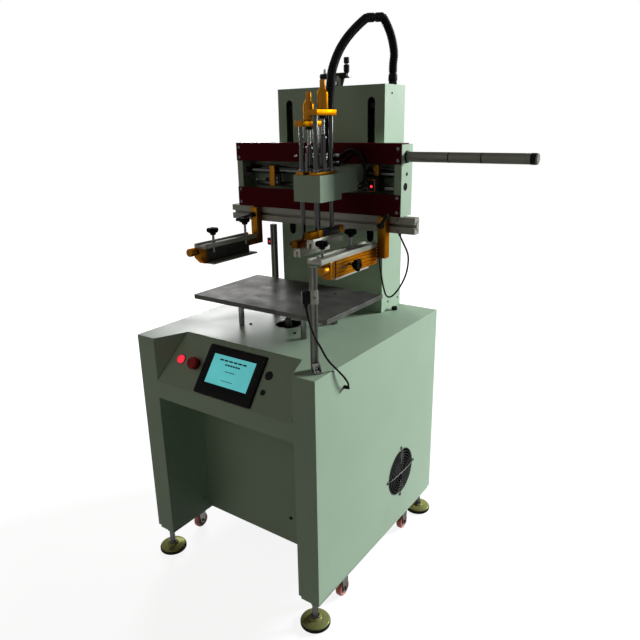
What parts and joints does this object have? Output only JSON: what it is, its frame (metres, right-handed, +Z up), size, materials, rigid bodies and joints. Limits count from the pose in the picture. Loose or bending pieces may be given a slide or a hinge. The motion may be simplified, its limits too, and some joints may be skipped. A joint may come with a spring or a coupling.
{
  "type": "flat-bed screen printing machine",
  "caption": "Floor-standing flat-bed screen printing machine: cabinet with console, worktable, slotted lift column, and a print head with sliding carriage and screen arms.",
  "frame": {"origin": "on the floor, under the middle of the machine's overall box", "axes": "+Z up, +Y to the back (the column), +X to the right as the operator faces the console"},
  "size_m": [0.948, 0.684, 1.5356],
  "materials": {
    "green_paint": "satin",
    "maroon_paint": "satin",
    "gold_anodised": "satin anodised",
    "silver_anodised": "satin anodised",
    "bright_steel": "ground",
    "dark_plate": "brushed",
    "dark_paint": "satin",
    "guard_wire": "bright",
    "zinc_plate": "yellow zinc plated",
    "black_plastic": "matt",
    "grey_plastic": "matt",
    "red_plastic": "gloss",
    "red_tyre": "satin"
  },
  "bodies": {
    "machine": {"cabinet": "green_paint", "base_frame": "dark_paint", "control_panel": "green_paint", "operator_screen": "grey_plastic", "worktable": "dark_plate", "table_frame": "bright_steel", "fan_frame": "guard_wire", "column": "green_paint", "conduit_gland": "black_plastic", "lift_guides": "bright_steel", "lift_cylinder": "black_plastic", "front_post": "silver_anodised", "rear_post": "silver_anodised", "sensor_cable": "black_plastic", "conduit_outer": "black_plastic"},
    "head": {"lift_crosshead": "silver_anodised", "head_frame": "green_paint", "upper_cover": "maroon_paint", "lower_cover": "maroon_paint", "clamp_beam": "silver_anodised", "stroke_cylinder": "silver_anodised", "loop_cable": "black_plastic", "conduit_inner": "black_plastic"},
    "carriage": {"carriage": "green_paint", "flood_cylinder": "silver_anodised", "squeegee_cylinder": "silver_anodised"},
    "flood_unit": {"flood_slide": "bright_steel", "flood_holder": "silver_anodised"},
    "squeegee_unit": {"squeegee_slide": "bright_steel", "squeegee_holder": "silver_anodised"},
    "flood_adjuster": {"flood_adjuster": "gold_anodised"},
    "flood_clamp_knob": {"flood_clamp_knob": "black_plastic"},
    "squeegee_adjuster": {"squeegee_adjuster": "gold_anodised"},
    "squeegee_clamp_knob": {"squeegee_clamp_knob": "black_plastic"},
    "left_stop": {"left_stop": "gold_anodised"},
    "right_stop": {"right_stop": "gold_anodised"},
    "rear_door": {"rear_door": "green_paint"},
    "fan_rotor": {"fan_rotor": "black_plastic"},
    "start_button": {"start_button": "red_plastic"},
    "stop_button": {"stop_button": "red_plastic"},
    "left_arm": {"left_arm": "gold_anodised"},
    "left_lever": {"left_lever": "black_plastic"},
    "left_front_screw": {"left_front_screw": "black_plastic"},
    "left_rear_screw": {"left_rear_screw": "black_plastic"},
    "left_side_screw": {"left_side_screw": "black_plastic"},
    "left_fine_adjuster": {"left_fine_adjuster": "gold_anodised"},
    "right_arm": {"right_arm": "gold_anodised"},
    "right_lever": {"right_lever": "black_plastic"},
    "right_front_screw": {"right_front_screw": "black_plastic"},
    "right_rear_screw": {"right_rear_screw": "black_plastic"},
    "right_side_screw": {"right_side_screw": "black_plastic"},
    "right_fine_adjuster": {"right_fine_adjuster": "gold_anodised"},
    "foot_front_left": {"foot_front_left": "zinc_plate"},
    "wheel_front_left": {"wheel_front_left": "red_tyre"},
    "foot_front_right": {"foot_front_right": "zinc_plate"},
    "wheel_front_right": {"wheel_front_right": "red_tyre"},
    "foot_rear_left": {"foot_rear_left": "zinc_plate"},
    "wheel_rear_left": {"wheel_rear_left": "red_tyre"},
    "foot_rear_right": {"foot_rear_right": "zinc_plate"},
    "wheel_rear_right": {"wheel_rear_right": "red_tyre"}
  },
  "joints": [
    {"name": "head_lift", "type": "slide", "parent": "machine", "child": "head", "axis": [0, 0, 1], "range_m": [-0.06, 0], "deforming": ["conduit_outer"]},
    {"name": "traverse", "type": "slide", "parent": "head", "child": "carriage", "axis": [1, 0, 0], "range_m": [-0.2, 0.015], "deforming": ["conduit_inner"]},
    {"name": "flood_lift", "type": "slide", "parent": "carriage", "child": "flood_unit", "axis": [0, 0, 1], "range_m": [-0.03, 0]},
    {"name": "squeegee_lift", "type": "slide", "parent": "carriage", "child": "squeegee_unit", "axis": [0, 0, 1], "range_m": [-0.005, 0.024]},
    {"name": "flood_adjuster_turn", "type": "hinge", "parent": "flood_unit", "child": "flood_adjuster", "pos_m": [-0.007, -0.032, 1.2823], "axis": [0, 0, 1], "range_deg": [-1800, 1800]},
    {"name": "flood_clamp_turn", "type": "hinge", "parent": "flood_unit", "child": "flood_clamp_knob", "pos_m": [-0.023, -0.092, 0.9823], "axis": [1, 0, 0], "range_deg": [-720, 720]},
    {"name": "squeegee_adjuster_turn", "type": "hinge", "parent": "squeegee_unit", "child": "squeegee_adjuster", "pos_m": [-0.05, -0.032, 1.2563], "axis": [0, 0, 1], "range_deg": [-1800, 1800]},
    {"name": "squeegee_clamp_turn", "type": "hinge", "parent": "squeegee_unit", "child": "squeegee_clamp_knob", "pos_m": [-0.066, -0.092, 0.9563], "axis": [1, 0, 0], "range_deg": [-720, 720]},
    {"name": "left_stop_slide", "type": "slide", "parent": "head", "child": "left_stop", "axis": [1, 0, 0], "range_m": [-0.055, 0.15]},
    {"name": "right_stop_slide", "type": "slide", "parent": "head", "child": "right_stop", "axis": [1, 0, 0], "range_m": [-0.015, 0.045]},
    {"name": "left_arm_slide", "type": "slide", "parent": "head", "child": "left_arm", "axis": [1, 0, 0], "range_m": [-0.08, 0.1]},
    {"name": "right_arm_slide", "type": "slide", "parent": "head", "child": "right_arm", "axis": [1, 0, 0], "range_m": [-0.02, 0.06]},
    {"name": "left_lever_turn", "type": "hinge", "parent": "left_arm", "child": "left_lever", "pos_m": [-0.3645, 0.1007, 0.988], "axis": [0, 1, 0], "range_deg": [-30, 60]},
    {"name": "left_front_screw_turn", "type": "hinge", "parent": "left_arm", "child": "left_front_screw", "pos_m": [-0.323, -0.122, 0.9745], "axis": [0, 0, 1], "range_deg": [-1800, 1800]},
    {"name": "left_rear_screw_turn", "type": "hinge", "parent": "left_arm", "child": "left_rear_screw", "pos_m": [-0.323, 0.012, 0.985], "axis": [0, 0, 1], "range_deg": [-1800, 1800]},
    {"name": "left_side_screw_turn", "type": "hinge", "parent": "left_arm", "child": "left_side_screw", "pos_m": [-0.378, -0.045, 0.91], "axis": [1, 0, 0], "range_deg": [-1080, 1080]},
    {"name": "left_fine_turn", "type": "hinge", "parent": "left_arm", "child": "left_fine_adjuster", "pos_m": [-0.343, -0.171, 0.921], "axis": [0, 1, 0], "range_deg": [-1080, 1080]},
    {"name": "right_lever_turn", "type": "hinge", "parent": "right_arm", "child": "right_lever", "pos_m": [0.0885, 0.1007, 0.988], "axis": [0, 1, 0], "range_deg": [-60, 60]},
    {"name": "right_front_screw_turn", "type": "hinge", "parent": "right_arm", "child": "right_front_screw", "pos_m": [0.047, -0.122, 0.971], "axis": [0, 0, 1], "range_deg": [-1800, 1800]},
    {"name": "right_rear_screw_turn", "type": "hinge", "parent": "right_arm", "child": "right_rear_screw", "pos_m": [0.047, 0.012, 0.981], "axis": [0, 0, 1], "range_deg": [-1800, 1800]},
    {"name": "right_side_screw_turn", "type": "hinge", "parent": "right_arm", "child": "right_side_screw", "pos_m": [0.102, -0.045, 0.91], "axis": [1, 0, 0], "range_deg": [-1080, 1080]},
    {"name": "right_fine_turn", "type": "hinge", "parent": "right_arm", "child": "right_fine_adjuster", "pos_m": [0.067, -0.13, 0.91], "axis": [0, 1, 0], "range_deg": [-1080, 1080]},
    {"name": "rear_door_swing", "type": "hinge", "parent": "machine", "child": "rear_door", "pos_m": [-0.413, 0.3303, 0.4], "axis": [0, 0, 1], "range_deg": [0, 110]},
    {"name": "fan_spin", "type": "hinge", "parent": "machine", "child": "fan_rotor", "pos_m": [0.1445, 0.11, 0.252], "axis": [1, 0, 0], "continuous": true},
    {"name": "start_press", "type": "slide", "parent": "machine", "child": "start_button", "axis": [0, -0.8023, 0.5969], "range_m": [-0.004, 0], "stiffness_N_per_m": 400, "springref_m": 0.002},
    {"name": "stop_press", "type": "slide", "parent": "machine", "child": "stop_button", "axis": [0, -0.8023, 0.5969], "range_m": [-0.005, 0]},
    {"name": "foot_front_left_turn", "type": "hinge", "parent": "machine", "child": "foot_front_left", "pos_m": [-0.409, -0.302, 0.04], "axis": [0, 0, 1], "range_deg": [-1440, 1440]},
    {"name": "wheel_front_left_spin", "type": "hinge", "parent": "machine", "child": "wheel_front_left", "pos_m": [-0.413, -0.178, 0.026], "axis": [1, 0, 0], "continuous": true},
    {"name": "foot_front_right_turn", "type": "hinge", "parent": "machine", "child": "foot_front_right", "pos_m": [0.133, -0.302, 0.04], "axis": [0, 0, 1], "range_deg": [-1440, 1440]},
    {"name": "wheel_front_right_spin", "type": "hinge", "parent": "machine", "child": "wheel_front_right", "pos_m": [0.137, -0.178, 0.026], "axis": [1, 0, 0], "continuous": true},
    {"name": "foot_rear_left_turn", "type": "hinge", "parent": "machine", "child": "foot_rear_left", "pos_m": [-0.409, 0.302, 0.04], "axis": [0, 0, 1], "range_deg": [-1440, 1440]},
    {"name": "wheel_rear_left_spin", "type": "hinge", "parent": "machine", "child": "wheel_rear_left", "pos_m": [-0.413, 0.178, 0.026], "axis": [1, 0, 0], "continuous": true},
    {"name": "foot_rear_right_turn", "type": "hinge", "parent": "machine", "child": "foot_rear_right", "pos_m": [0.133, 0.302, 0.04], "axis": [0, 0, 1], "range_deg": [-1440, 1440]},
    {"name": "wheel_rear_right_spin", "type": "hinge", "parent": "machine", "child": "wheel_rear_right", "pos_m": [0.137, 0.178, 0.026], "axis": [1, 0, 0], "continuous": true}
  ]
}
